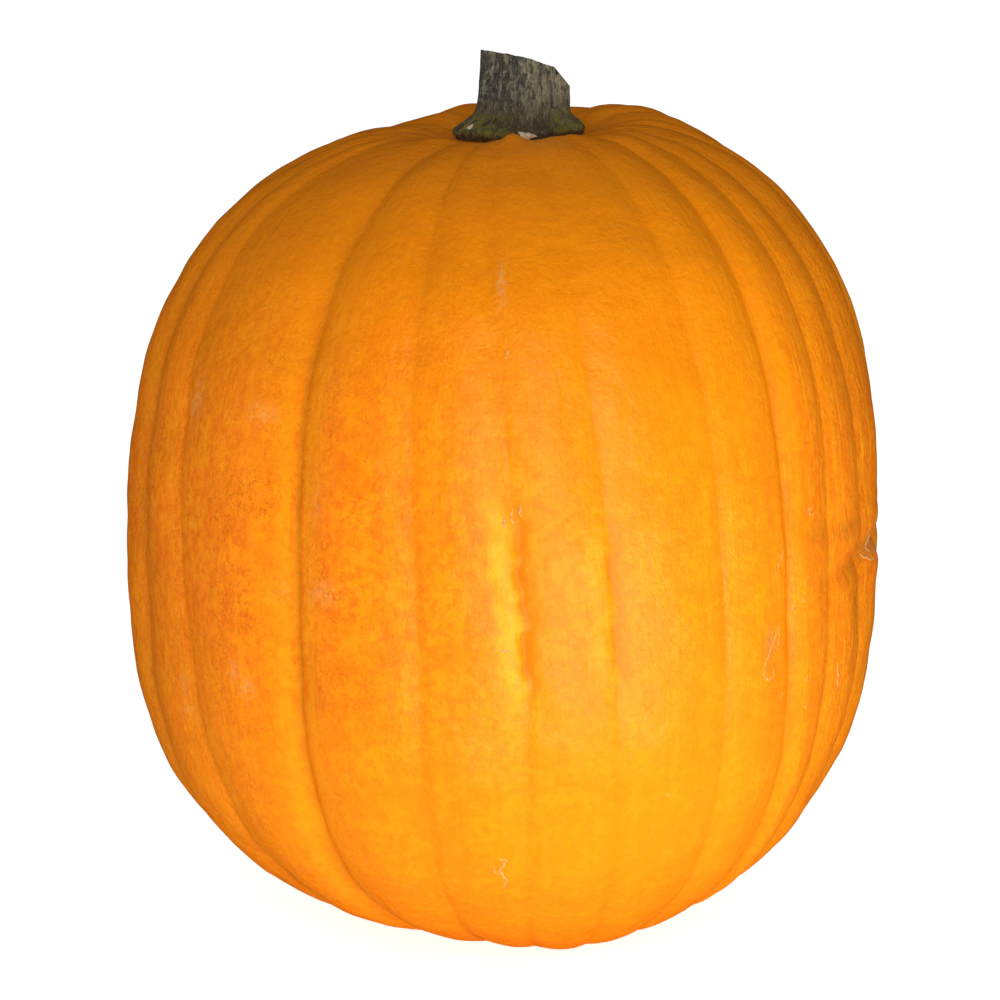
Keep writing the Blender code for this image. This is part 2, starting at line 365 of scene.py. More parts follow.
def body_points(place):
    """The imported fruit's surface: a superellipse less the ribs' relief and the pinch, then the
    bulge, the hollow and seat of the crown, and the lean."""
    azimuth, lift = place.azimuth, place.lift
    rise = smooth_step(-0.35, 0.35, np.sin(lift))
    fullness = LOWER_FULLNESS + (UPPER_FULLNESS - LOWER_FULLNESS) * rise
    height = np.where(lift > 0, CROWN_RISE, BLOSSOM_DROP)
    wide = np.abs(np.cos(lift) / GIRTH_RADIUS) ** fullness
    tall = np.abs(np.sin(lift) / height) ** fullness
    distance = (wide + tall) ** (-1.0 / fullness)
    distance -= place.depth * (1.0 - place.from_groove) ** CREASE
    along = wrapped(azimuth - PINCH_AZIMUTH) / PINCH_LENGTH
    over = (lift - PINCH_LIFT) / PINCH_WIDTH
    distance -= PINCH_DEPTH * np.exp(-(along**4) - over**2)
    distance += swelling(azimuth, lift)

    ring = distance * np.cos(lift)
    cheek = HIGH_CHEEK * np.sin(2 * lift)
    ring *= 1.0 + (SIDE_BULGE + cheek) * np.sin(azimuth)
    z = distance * np.sin(lift)
    hollowed = z - HOLLOW_DEPTH * np.exp(-((ring / HOLLOW_RADIUS) ** 2))
    level = smooth_step(SEAT_RADIUS, SEAT_RADIUS + SEAT_BLEND, ring)
    z = np.where(lift > 0, SEAT_HEIGHT + (hollowed - SEAT_HEIGHT) * level, z)
    return lean(ring * np.sin(azimuth), -ring * np.cos(azimuth), z)


def rind_relief(place, points):
    """Fine relief, outwards: slow lumps, a narrow crease along each groove, slits that drop at a torn
    edge with a lip on its left, folds that run into the pinch, and lobes that rise at the stem."""
    relief = layered_waves(points, RIND_LUMPS)
    strength = place.depth / DEEP_GROOVE * (1.0 - smooth_step(*CREASE_FADE, place.lift / DEG))
    relief -= CREASE_DEPTH * strength * np.exp(-((place.aside / CREASE_WIDTH) ** 2))
    aside = place.aside + ragged_edge(place.lift)
    right = smooth_step(-SLIT_EDGE, SLIT_EDGE, aside)
    for groove, lowest, highest, depth in SLITS:
        share = place.slit_share(groove, lowest, highest)
        relief -= share * depth * right * np.exp(-((aside / SLIT_WIDTH) ** 2))
        lip = LIP_HEIGHT * depth / SLITS[0][3]
        relief += share * lip * np.exp(-(((aside + LIP_OFFSET) / SLIT_WIDTH) ** 2))
    along = wrapped(place.azimuth - PINCH_AZIMUTH) / (FOLD_REACH * PINCH_LENGTH)
    over = (place.lift - PINCH_LIFT) / PINCH_WIDTH
    folds = FOLD_DEPTH * np.exp(-((over / FOLD_WIDTH) ** 2))
    folds += SIDE_FOLD_DEPTH * np.cos(SIDE_FOLD_RATE * over) * np.exp(-((over / SIDE_FOLD_SPREAD) ** 2))
    ring = GIRTH_RADIUS * CROWN_SPREAD * np.cos(place.lift)
    near_stem = np.exp(-(((ring - LOBE_REACH) / LOBE_LENGTH) ** 2)) * (place.lift > 0)
    for azimuth, half_width, height in FRONT_LOBES:
        from_crest = np.abs(wrapped(place.azimuth - azimuth * DEG)) * ring / half_width
        relief += height * near_stem * np.exp(-(from_crest**LOBE_POWER))
    return relief - folds * np.exp(-(along**4))


def rest_on_floor(points):
    """Turns what would lie below the floor onto it, softly, and sinks the blossom scar into it."""
    x, y, z = np.moveaxis(points, -1, 0)
    z = 0.5 * (z + np.sqrt(z * z + SETTLE * SETTLE))
    ring = np.hypot(x, y)
    scar = 1.0 - smooth_step(BLOSSOM_FLAT * BLOSSOM_RADIUS, BLOSSOM_RADIUS, ring)
    low = 1.0 - smooth_step(0.0, UNDERSIDE, z)
    ripple = BLOSSOM_RIPPLE * np.cos(ring * 2 * math.pi / BLOSSOM_RING)
    z = z + low * scar * BLOSSOM_SINK * (1.0 - ripple)
    return np.stack([x, y, z], axis=-1)


def rind_points(rib, lift):
    """Finished points of the rind: the body, moved outwards by the fine relief, set on the floor."""
    place = RindPlace(rib, lift)
    points = body_points(place)
    outward = points - GIRTH_MIDDLE
    outward /= np.linalg.norm(outward, axis=-1, keepdims=True)
    under_stem = smooth_step(*UNDER_STEM, np.cos(lift))
    relief = rind_relief(place, points) * np.where(lift > 0, under_stem, 1.0)
    return rest_on_floor(points + outward * relief[..., None])


# ---- Mesh building ----


def corner_values(grid, start, end):
    """One value for each face corner of a ring mesh, from a grid with one more column than the rings:
    fans round the start, then quads row by row, then fans round the end."""
    here, beside = grid[:, :-1], grid[:, 1:]
    first = np.stack([np.full_like(here[0], start), beside[0], here[0]], axis=-1)
    sides = np.stack([here[:-1], beside[:-1], beside[1:], here[1:]], axis=-1)
    last = np.stack([here[-1], beside[-1], np.full_like(here[-1], end)], axis=-1)
    return np.concatenate([first.ravel(), sides.ravel(), last.ravel()])


def ring_faces(rows, columns):
    """Face corners and face sizes of rings joined row by row and closed to a point at each end."""
    index = 1 + np.arange(rows * columns).reshape(rows, columns)
    corners = corner_values(np.concatenate([index, index[:, :1]], axis=1), 0, rows * columns + 1)
    fan = np.full(columns, 3)
    return corners, np.concatenate([fan, np.full((rows - 1) * columns, 4), fan])


def mesh_of(name, points, corners, sizes):
    mesh = bpy.data.meshes.new(name)
    mesh.vertices.add(len(points))
    mesh.vertices.foreach_set("co", points.ravel())
    mesh.loops.add(len(corners))
    mesh.loops.foreach_set("vertex_index", corners.astype(np.int32))
    mesh.polygons.add(len(sizes))
    mesh.polygons.foreach_set("loop_start", (np.cumsum(sizes) - sizes).astype(np.int32))
    mesh.update(calc_edges=True)
    mesh.validate()
    mesh.shade_smooth()
    return mesh


def ring_mesh(name, start, rings, end):
    """A closed mesh through rings of points that turn anticlockwise as seen from the end."""
    points = np.concatenate([start[None], rings.reshape(-1, 3), end[None]])
    return mesh_of(name, points, *ring_faces(*rings.shape[:2]))


def many_ring_meshes(name, starts, rings, ends):
    """One mesh that holds many closed ring meshes of the same make: rings is shape by row by column."""
    shapes, rows, columns = rings.shape[:3]
    points = np.concatenate([starts[:, None], rings.reshape(shapes, -1, 3), ends[:, None]], axis=1)
    corners, sizes = ring_faces(rows, columns)
    step = points.shape[1] * np.arange(shapes)[:, None]
    return mesh_of(name, points.reshape(-1, 3), (corners + step).ravel(), np.tile(sizes, shapes))


def add_lengthwise_map(mesh, around, along, around_end, along_ends):
    """A UV map in metres: around the piece, and along it from end to end."""
    u = np.concatenate([around, around_end], axis=1)
    v = np.concatenate([along, along[:, :1]], axis=1)
    middle = float(np.mean(u))
    pairs = np.stack([corner_values(u, middle, middle), corner_values(v, *along_ends)], axis=-1)
    mesh.uv_layers.new(name="lengthwise").data.foreach_set("uv", pairs.ravel().astype(np.float32))


def add_masks(mesh, masks):
    """Masks for a ring mesh, by name. Its two end points take the mean of the nearest ring."""
    for name, grid in masks.items():
        values = np.concatenate([[grid[0].mean()], grid.ravel(), [grid[-1].mean()]])
        data = mesh.attributes.new(name, "FLOAT", "POINT").data
        data.foreach_set("value", values.astype(np.float32))


def put_in_scene(context, mesh, material, slot, *nodes):
    """The finished piece: it rides on the fixed body and wears its material. The slot is not used."""
    mesh.materials.append(material)
    obj = bpy.data.objects.new(mesh.name, mesh)
    context.scene.collection.objects.link(obj)
    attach(obj, "root")
    if nodes:
        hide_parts(*nodes)
    return obj


# ---- Shader building ----


def feed(tree, socket, value):
    """Links a socket to another, or sets its value."""
    if isinstance(value, bpy.types.NodeSocket):
        tree.links.new(value, socket)
    else:
        socket.default_value = value


def put(tree, kind, properties=None, **inputs):
    """Adds a node with its properties and inputs. An underscore in an input's name is a space."""
    node = tree.nodes.new(kind)
    for name, value in (properties or {}).items():
        setattr(node, name, value)
    for name, value in inputs.items():
        feed(tree, node.inputs[name.replace("_", " ")], value)
    return node


def calculate(tree, operation, first, second=0.0):
    node = tree.nodes.new("ShaderNodeMath")
    node.operation = operation
    feed(tree, node.inputs[0], first)
    feed(tree, node.inputs[1], second)
    return node.outputs[0]


def times(tree, first, second):
    return calculate(tree, "MULTIPLY", first, second)


def rescale(tree, value, low, high, to_low=0.0, to_high=1.0):
    """Smoothly takes low to to_low and high to to_high, and holds beyond them."""
    node = put(
        tree, "ShaderNodeMapRange", {"interpolation_type": "SMOOTHSTEP"},
        Value=value, From_Min=low, From_Max=high, To_Min=to_low, To_Max=to_high,
    )
    return node.outputs[0]


def blend(tree, share, first, second):
    """Mixes two colours."""
    node = tree.nodes.new("ShaderNodeMix")
    node.data_type = "RGBA"
    feed(tree, node.inputs[0], share)
    feed(tree, node.inputs[6], first)
    feed(tree, node.inputs[7], second)
    return node.outputs[2]


def mask(tree, name):
    """Value of one of the mesh's own masks."""
    return put(tree, "ShaderNodeAttribute", {"attribute_name": name}).outputs["Fac"]


def new_group(name, inputs, outputs):
    """An empty shader group: inputs are (name, socket type, default), outputs are (name, type)."""
    tree = bpy.data.node_groups.new(name, "ShaderNodeTree")
    for label, kind, default in inputs:
        socket = tree.interface.new_socket(label, in_out="INPUT", socket_type=kind)
        if default is not None:
            socket.default_value = default
    for label, kind in outputs:
        tree.interface.new_socket(label, in_out="OUTPUT", socket_type=kind)
    return tree, tree.nodes.new("NodeGroupInput"), tree.nodes.new("NodeGroupOutput")


VALUE = "NodeSocketFloat"
VECTOR = "NodeSocketVector"


def cloudy_group():
    """Soft clouds: noise, with what lies between Low and High spread from 0 to 1."""
    name = "cloudy"
    if name in bpy.data.node_groups:
        return bpy.data.node_groups[name]
    tree, given, result = new_group(
        name,
        [("Vector", VECTOR, None), ("Scale", VALUE, 100.0), ("Low", VALUE, 0.4), ("High", VALUE, 0.6)],
        [("Mask", VALUE)],
    )
    noise = put(
        tree, "ShaderNodeTexNoise", Vector=given.outputs["Vector"], Scale=given.outputs["Scale"],
        Detail=4.0, Roughness=0.55,
    )
    spread = rescale(tree, noise.outputs["Fac"], given.outputs["Low"], given.outputs["High"])
    feed(tree, result.inputs["Mask"], spread)
    return tree


def specks_group():
    """Small round specks: each cell of a pattern holds one, but only a share of the cells do."""
    name = "specks"
    if name in bpy.data.node_groups:
        return bpy.data.node_groups[name]
    tree, given, result = new_group(
        name,
        [("Vector", VECTOR, None), ("Scale", VALUE, 400.0), ("Size", VALUE, 0.3), ("Share", VALUE, 0.3)],
        [("Mask", VALUE)],
    )
    cells = put(
        tree, "ShaderNodeTexVoronoi", Vector=given.outputs["Vector"], Scale=given.outputs["Scale"]
    )
    inner = times(tree, given.outputs["Size"], 0.35)
    spot = rescale(tree, cells.outputs["Distance"], given.outputs["Size"], inner)
    draw = put(tree, "ShaderNodeSeparateColor", Color=cells.outputs["Color"]).outputs[0]
    chosen = calculate(tree, "LESS_THAN", draw, given.outputs["Share"])
    feed(tree, result.inputs["Mask"], times(tree, spot, chosen))
    return tree


def streaks_group():
    """Streaks that run lengthwise: noise on a map that is squeezed across and drawn out along."""
    name = "streaks"
    if name in bpy.data.node_groups:
        return bpy.data.node_groups[name]
    tree, given, result = new_group(
        name,
        [("Vector", VECTOR, None), ("Across", VALUE, 500.0), ("Along", VALUE, 50.0),
         ("Low", VALUE, 0.5), ("High", VALUE, 0.65)],
        [("Mask", VALUE)],
    )
    stretch = put(tree, "ShaderNodeCombineXYZ", X=given.outputs["Across"], Y=given.outputs["Along"])
    place = put(tree, "ShaderNodeVectorMath", {"operation": "MULTIPLY"})
    feed(tree, place.inputs[0], given.outputs["Vector"])
    feed(tree, place.inputs[1], stretch.outputs[0])
    noise = put(
        tree, "ShaderNodeTexNoise", Vector=place.outputs[0], Scale=1.0, Detail=4.0, Roughness=0.6
    )
    spread = rescale(tree, noise.outputs["Fac"], given.outputs["Low"], given.outputs["High"])
    feed(tree, result.inputs["Mask"], spread)
    return tree


def use(tree, group, **inputs):
    """Places a shader group and gives its mask."""
    node = tree.nodes.new("ShaderNodeGroup")
    node.node_tree = group
    for name, value in inputs.items():
        feed(tree, node.inputs[name], value)
    return node.outputs["Mask"]


def clouds(tree, place, scale, low, high):
    return use(tree, cloudy_group(), Vector=place, Scale=scale, Low=low, High=high)


def specks(tree, place, scale, size, share):
    return use(tree, specks_group(), Vector=place, Scale=scale, Size=size, Share=share)


def streaks(tree, place, across, along, low, high):
    return use(tree, streaks_group(), Vector=place, Across=across, Along=along, Low=low, High=high)


def new_material(name, roughness, specular=0.3):
    """A material with its shader, the tree that it is in and the object's own coordinates."""
    material = bpy.data.materials.new(name)
    material.use_nodes = True
    tree = material.node_tree
    shader = tree.nodes["Principled BSDF"]
    shader.inputs["Roughness"].default_value = roughness
    shader.inputs["Specular IOR Level"].default_value = specular
    place = tree.nodes.new("ShaderNodeTexCoord").outputs["Object"]
    return material, tree, shader, place


def lengthwise(tree):
    return put(tree, "ShaderNodeUVMap", {"uv_map": "lengthwise"}).outputs["UV"]


def raise_bumps(tree, shader, height, distance):
    bump = put(tree, "ShaderNodeBump", Height=height, Distance=distance, Strength=1.0)
    tree.links.new(bump.outputs["Normal"], shader.inputs["Normal"])


def colour(*values):
    return (*values, 1.0)


def layer(tree, paint, share, strength, tint):
    """Lays a tint over the paint where a mask is, at a strength from 0 to 1."""
    return blend(tree, times(tree, share, strength), paint, colour(*tint))


def light_property(name, description, default, unit="NONE"):
    return FloatProperty(name=name, description=description, default=default, min=0.0, unit=unit)


def colour_property(name, description, default):
    return FloatVectorProperty(
        name=name, description=description, subtype="COLOR", size=3, min=0.0, max=1.0, default=default
    )


# ---- Settings ----


class RindSettings(bpy.types.PropertyGroup):
    bright: colour_property("Bright", "Orange of the sunlit ribs", (0.96, 0.234, 0.0))
    deep: colour_property("Deep", "Deeper orange of the mottling", (0.92, 0.188, 0.0))
    # Crown: browner towards the top, partly the rind's own tone and partly painted shade where less light
    # falls.
    crown: colour_property("Crown", "Browner orange round the stem", (0.82, 0.238, 0.0))
    # Groove shade: olive brown painted along the grooves as painted shade.
    groove_shade: colour_property("Valley", "Olive brown in the grooves", (0.56, 0.175, 0.002))
    roughness: FloatProperty(
        name="Roughness", description="Roughness of the wax", default=0.33, min=0.0, max=1.0
    )
    wrinkles: FloatProperty(
        name="Wrinkles", description="Height of the finest wrinkles", default=0.00034,
        min=0.0, soft_max=0.001, precision=5, unit="LENGTH",
    )


class CorkSettings(bpy.types.PropertyGroup):
    tan: colour_property("Tan", "Healed cork of the scars", (0.66, 0.30, 0.06))
    height: FloatProperty(
        name="Height", description="Height of a scar over the rind", default=0.00022,
        min=0.00005, max=0.002, precision=5, unit="LENGTH",
    )


class StemSettings(bpy.types.PropertyGroup):
    charcoal: colour_property("Charcoal", "Weathered dark bark", (0.032, 0.032, 0.027))
    straw: colour_property("Straw", "Bleached bark of the sunny side", (0.36, 0.315, 0.19))
    moss: colour_property("Moss", "Green on the foot", (0.165, 0.150, 0.020))
    brown: colour_property("Brown", "Dark brown under the foot", (0.072, 0.051, 0.020))
    fibres: IntProperty(name="Fibres", description="Loose fibres on the bark", default=60, min=0, max=400)


class StudioSettings(bpy.types.PropertyGroup):
    key: light_property("Key", "Power of the tall softbox", 13.4, "POWER")
    rim: light_property("Rim", "Power of the left strip", 1.1, "POWER")
    sheen: light_property("Sheen", "Power of the low strip by the floor", 1.2, "POWER")
    sky: light_property("Sky", "Light from all round at the horizon", 0.43)
    floor: colour_property("Floor", "Colour of the floor", (0.90, 0.90, 0.90))
    glow: light_property("Glow", "How bright the lit floor board looks by itself", 0.78)
    bounce: light_property("Bounce", "Light that the floor board throws up at the object", 0.34)


# ---- Rind ----


def rind_grid():
    """Rib coordinates and lifts of the rind's rows and columns, columns crowded towards grooves."""
    share = np.arange(COLUMNS_PER_RIB) / COLUMNS_PER_RIB
    across = share - GROOVE_CROWDING * np.sin(2 * math.pi * share) / (2 * math.pi)
    ribs = SEAM_RIB + (np.arange(RIBS)[:, None] + across).ravel()
    lifts = np.linspace(-90.0, 90.0, RIND_ROWS + 2)[1:-1] * DEG
    return np.meshgrid(ribs, lifts)


def fade_in_and_out(azimuth, fades):
    """1 between two fades, each given as the azimuths in degrees where it starts and ends."""
    return smooth_step(*fades[0], azimuth / DEG) * (1.0 - smooth_step(*fades[1], azimuth / DEG))


def rind_masks(rib, lift):
    """Masks that the rind's material reads, by name."""
    place = RindPlace(rib, lift)
    azimuth = wrapped(place.azimuth)
    aside = place.aside + ragged_edge(lift)
    slit, lip = np.zeros_like(lift), np.zeros_like(lift)
    for groove, lowest, highest, depth in SLITS:
        share = place.slit_share(groove, lowest, highest)
        inside = smooth_step(-SLIT_EDGE, SLIT_EDGE, aside) * np.exp(-((aside / SLIT_SHADE) ** 4))
        slit = np.maximum(slit, share * inside)
        beside = np.exp(-(((aside + LIP_MIDDLE) / LIP_BAND) ** 4))
        lip = np.maximum(lip, share * beside * (depth / SLITS[0][3]))
    left = 1.0 - smooth_step(*SPECKLED_SIDE, azimuth / DEG)
    top = TOP_SPECKS * smooth_step(*SPECKLED_TOP, lift / DEG)
    return {
        "groove_gap": np.abs(place.aside),
        "groove_strength": np.clip(place.depth / DEEP_GROOVE, 0.0, 1.0) ** 1.5,
        "scuff": np.clip(sum(place.spot(*spot) for spot in SCUFFS), 0.0, 1.0),
        "bruise": np.clip(sum(spot[4] * place.spot(*spot[:4]) for spot in BRUISES_AND_FOLD_SHADE), 0.0, 1.0),
        "cork": np.clip(sum(place.spot(*spot) for spot in CORK_PATCHES), 0.0, 1.0),
        "slit": slit,
        "lip": lip,
        "sunny_side": fade_in_and_out(azimuth, SUNNY_SIDE),
        "golden": fade_in_and_out(azimuth, PAINTED_LIGHT_FRONT),
        "speckled": FEWEST_SPECKS + (1.0 - FEWEST_SPECKS) * np.maximum(left, top),
    }


def rind_material(settings):
    """Waxy orange skin. Its colour is built up in layers: clouds of two oranges, specks, lengthwise streaks,
    a yellower front of painted light, the crown's brown with painted shade in it, a lower part brightened
    as painted light, painted shade in the grooves with painted highlights on their banks, then slits with
    painted shade, lips with a painted highlight, scuffs, bruises with the painted shadow of the pinch's
    fold, and cork."""
    material, tree, shader, place = new_material("waxy_rind", settings.roughness, 0.16)
    along = lengthwise(tree)

    large = clouds(tree, place, 30.0, 0.34, 0.68)
    paint = blend(tree, large, colour(*settings.deep), colour(*settings.bright))
    patchy = clouds(tree, place, 115.0, 0.40, 0.62)
    paint = layer(tree, paint, patchy, 0.50, (1.0, 0.322, 0.0))
    small = clouds(tree, place, 300.0, 0.44, 0.62)
    paint = layer(tree, paint, small, 0.72, (0.86, 0.150, 0.0))

    speckled = mask(tree, "speckled")
    dense = clouds(tree, place, 52.0, 0.42, 0.60)
    dotted = times(tree, speckled, rescale(tree, dense, 0.0, 1.0, 0.30, 1.0))
    broad = clouds(tree, place, 640.0, 0.53, 0.66)
    paint = layer(tree, paint, times(tree, broad, dotted), 0.68, (0.62, 0.115, 0.0))
    fine = clouds(tree, place, 1350.0, 0.55, 0.66)
    paint = layer(tree, paint, times(tree, fine, dotted), 0.75, (0.50, 0.100, 0.0))
    pricks = specks(tree, place, 420.0, 0.22, 0.22)
    paint = layer(tree, paint, times(tree, pricks, speckled), 0.50, (0.34, 0.075, 0.002))
    dapple = clouds(tree, place, 900.0, 0.50, 0.66)
    paint = layer(tree, paint, dapple, 0.30, (1.0, 0.36, 0.001))

    sunny = mask(tree, "sunny_side")
    pale = streaks(tree, along, 420.0, 16.0, 0.50, 0.70)
    paint = layer(tree, paint, times(tree, pale, sunny), 0.45, (0.98, 0.40, 0.004))
    tan = streaks(tree, along, 620.0, 22.0, 0.54, 0.70)
    paint = layer(tree, paint, times(tree, tan, sunny), 0.65, (0.48, 0.155, 0.002))
    everywhere = streaks(tree, along, 240.0, 12.0, 0.46, 0.72)
    paint = layer(tree, paint, everywhere, 0.26, (1.0, 0.33, 0.0))

    # Painted light: the front that faces the softbox is made yellower.
    paint = layer(tree, paint, mask(tree, "golden"), 0.38, (1.0, 0.33, 0.0))
    height = put(tree, "ShaderNodeSeparateXYZ", Vector=place).outputs["Z"]
    # Browner towards the top: partly the rind's own tone, partly painted shade of the top that gets less
    # light.
    crown = rescale(tree, height, 0.165, 0.300)
    paint = layer(tree, paint, crown, 0.85, settings.crown)
    # Painted light: the lower part is made brighter and yellower, as if lit from the floor below.
    lower = rescale(tree, height, 0.170, 0.060)
    paint = layer(tree, paint, lower, 0.40, (1.0, 0.305, 0.0))

    # Painted shade along the bottoms of the grooves, and a painted highlight on the banks beside them.
    gap = mask(tree, "groove_gap")
    strength = mask(tree, "groove_strength")
    strength = times(tree, strength, rescale(tree, height, 0.290, 0.210))
    groove_shade = times(tree, rescale(tree, gap, 0.0020, 0.0003), strength)
    paint = layer(tree, paint, groove_shade, 0.58, settings.groove_shade)
    bank_highlight = times(tree, rescale(tree, gap, 0.0016, 0.0042), rescale(tree, gap, 0.0105, 0.0055))
    paint = layer(tree, paint, times(tree, bank_highlight, strength), 0.30, (0.98, 0.38, 0.004))

    # Painted shade: the sunk side of each slit is painted a deeper red-orange.
    slit = mask(tree, "slit")
    paint = layer(tree, paint, slit, 0.60, (0.90, 0.180, 0.001))
    # Painted highlight: a pale band along the raised lip to the left of each slit.
    lip = times(tree, mask(tree, "lip"), rescale(tree, patchy, 0.0, 1.0, 0.6, 1.0))
    paint = layer(tree, paint, lip, 0.75, (1.0, 0.43, 0.010))
    wisps = clouds(tree, place, 420.0, 0.40, 0.62)
    scuff = times(tree, mask(tree, "scuff"), wisps)
    paint = layer(tree, paint, scuff, 0.58, (0.82, 0.39, 0.11))
    # Brown bruises, partly real and partly painted shadow along the pinch's fold.
    bruise = times(tree, mask(tree, "bruise"), rescale(tree, wisps, 0.0, 1.0, 0.55, 1.0))
    paint = layer(tree, paint, bruise, 0.75, (0.36, 0.125, 0.006))
    cork = times(tree, mask(tree, "cork"), rescale(tree, patchy, 0.0, 1.0, 0.55, 1.0))
    paint = layer(tree, paint, cork, 0.70, (0.50, 0.25, 0.055))
    tree.links.new(paint, shader.inputs["Base Color"])

    dull = calculate(tree, "MAXIMUM", times(tree, cork, 0.40), times(tree, scuff, 0.22))
    wax = rescale(tree, wisps, 0.0, 1.0, settings.roughness - 0.03, settings.roughness + 0.06)
    tree.links.new(calculate(tree, "ADD", wax, dull), shader.inputs["Roughness"])

    wrinkle = put(tree, "ShaderNodeTexNoise", Vector=place, Scale=520.0, Detail=3.0, Distortion=0.8)
    peel = put(tree, "ShaderNodeTexNoise", Vector=place, Scale=190.0, Detail=2.0)
    ripples = streaks(tree, along, 300.0, 60.0, 0.3, 0.7)
    rough = calculate(tree, "ADD", wrinkle.outputs["Fac"], times(tree, peel.outputs["Fac"], 1.2))
    rough = calculate(tree, "ADD", rough, times(tree, ripples, 0.35))
    raise_bumps(tree, shader, rough, settings.wrinkles)
    return material


class PUMPKIN_OT_rind(bpy.types.Operator):
    """Makes the ribbed rind, down to the corky scar in its flat spot"""

    bl_idname = "pumpkin.rind"
    bl_label = "Make Rind"

    def execute(self, context):
        rib, lift = rind_grid()
        points = rind_points(rib, lift)
        ends = [rind_points(np.zeros(1), np.array([sign * math.pi / 2]))[0] for sign in (-1, 1)]
        mesh = ring_mesh("rind", ends[0], points, ends[1])
        run = lift * GIRTH_RADIUS
        around = rib * RIB_WIDTH
        last = around[:, :1] + RIBS * RIB_WIDTH
        quarter = math.pi / 2 * GIRTH_RADIUS
        add_lengthwise_map(mesh, around, run, last, (-quarter, quarter))
        add_masks(mesh, rind_masks(rib, lift))
        put_in_scene(context, mesh, rind_material(context.scene.pumpkin_rind), "rind", "fruit")
        return {"FINISHED"}


# ---- Cork scars ----

# Each scar: half width in millimetres, then its points as azimuth and lift in degrees.
SCARS = (
    (0.40, (-3.0, 22.9), (-3.1, 22.1), (-2.8, 21.2)),
    (0.36, (-4.1, 22.5), (-4.3, 21.4), (-4.0, 20.4)),
    (0.34, (-5.2, 21.6), (-5.2, 20.8), (-4.9, 20.0)),
    (0.30, (-6.8, 3.8), (-6.0, 3.4), (-5.2, 3.5)),
    (0.32, (37.8, 0.6), (37.0, -1.4), (35.6, -3.2), (34.4, -4.8), (34.2, -6.4), (35.4, -7.4),
     (36.4, -6.8), (36.9, -5.2)),
    (0.28, (37.9, 0.2), (38.2, -1.8), (37.6, -3.6)),
    (0.30, (43.6, 2.9), (44.1, 2.2)),
    (0.30, (41.8, 2.2), (42.3, 1.3)),
    (0.28, (44.6, -9.0), (45.0, -10.0)),
    (0.28, (44.9, -13.4), (45.3, -14.4)),
    (0.28, (39.0, -10.4), (39.4, -11.4)),
    (0.26, (39.6, 11.0), (38.4, 9.4), (36.6, 7.4)),
    (0.24, (45.2, 15.6), (46.6, 14.2)),
    (0.24, (46.4, 15.6), (45.4, 14.2)),
    (0.45, (-9.4, -28.6), (-8.2, -29.4), (-9.4, -31.2), (-8.6, -33.4), (-9.6, -35.4)),
    (0.30, (-10.4, -30.4), (-9.8, -32.0)),
    (0.22, (-5.2, 52.0), (-5.0, 51.2)),
    (0.22, (-5.1, 50.4), (-5.0, 49.6)),
    (0.22, (-5.2, 48.6), (-5.0, 47.9)),
    (0.26, (-4.4, 41.2), (-4.0, 40.8), (-4.3, 40.1)),
    (0.26, (17.0, -20.8), (17.6, -21.3)),
    (0.40, (69.0, 6.2), (70.4, 5.0), (71.0, 3.4), (72.6, 2.6)),
    (0.40, (67.4, 3.6), (69.6, 2.4), (72.2, 1.6)),
    (0.35, (54.4, -9.6), (55.0, -12.0), (55.3, -14.2)),
    (0.50, (-128.0, 35.0), (-127.0, 30.0), (-129.0, 25.0), (-128.4, 22.0)),
    (0.40, (150.0, -12.0), (155.0, -12.6), (158.0, -11.4)),
    (0.35, (-92.0, -6.0), (-91.4, -9.0), (-92.6, -12.0)),
    (0.35, (118.0, 8.0), (119.0, 4.0), (118.2, 1.0)),
)
SCAR_ROWS = 22
SCAR_SIDES = 8
LONG_NOSE = 0.55  # how fast a scar thins out towards its ends
WANDER = 0.12  # degrees that a scar strays from its points
SLOPE_STEP = 0.2  # degrees over which the slopes of the rind are taken


def rind_at(azimuth, lift):
    """Points of the rind from angles in degrees."""
    turn, rise = np.asarray(azimuth) * DEG, np.asarray(lift) * DEG
    return rind_points(rib_at(turn, rise), rise)


def scar_rings(points, half_width, height):
    """Rings of one scar: an ellipse, half sunk, carried over the rind from point to point with a
    slight wander. It swells and shrinks a little, and thins out at both ends like a grain of rice."""
    azimuth, lift = np.array(points, float).T
    knots = np.arange(len(points))
    share = np.linspace(0.02, 0.98, SCAR_ROWS)
    at = share * knots[-1]
    along = np.interp(at, knots, azimuth) + WANDER * np.sin(at * 9.0)
    over = np.interp(at, knots, lift) + WANDER * np.cos(at * 7.0)
    middle = rind_at(along, over)
    east = rind_at(along + SLOPE_STEP, over) - rind_at(along - SLOPE_STEP, over)
    north = rind_at(along, over + SLOPE_STEP) - rind_at(along, over - SLOPE_STEP)
    outward = np.cross(east, north)
    outward /= np.linalg.norm(outward, axis=1, keepdims=True)
    forward = np.gradient(middle, axis=0)
    sideways = np.cross(forward, outward)
    sideways /= np.linalg.norm(sideways, axis=1, keepdims=True)
    swell = np.sin(math.pi * share) ** LONG_NOSE * (1.0 + 0.25 * np.sin(at * 11.0 + azimuth[0]))
    turn = np.linspace(0.0, 2 * math.pi, SCAR_SIDES, endpoint=False)
    across = (half_width * swell)[:, None] * np.cos(turn)
    up = (height * swell)[:, None] * np.sin(turn)
    return middle[:, None] + across[..., None] * sideways[:, None] + up[..., None] * outward[:, None]


def cork_material(settings):
    """Dry tan cork, paler on its crests, with fine grain."""
    material, tree, shader, place = new_material("healed_cork", 0.72)
    grain = clouds(tree, place, 900.0, 0.35, 0.65)
    paint = blend(tree, grain, colour(*settings.tan), colour(0.78, 0.42, 0.13))
    pits = specks(tree, place, 1500.0, 0.5, 0.4)
    paint = layer(tree, paint, pits, 0.6, (0.40, 0.17, 0.04))
    tree.links.new(paint, shader.inputs["Base Color"])
    raise_bumps(tree, shader, grain, 0.00012)
    return material


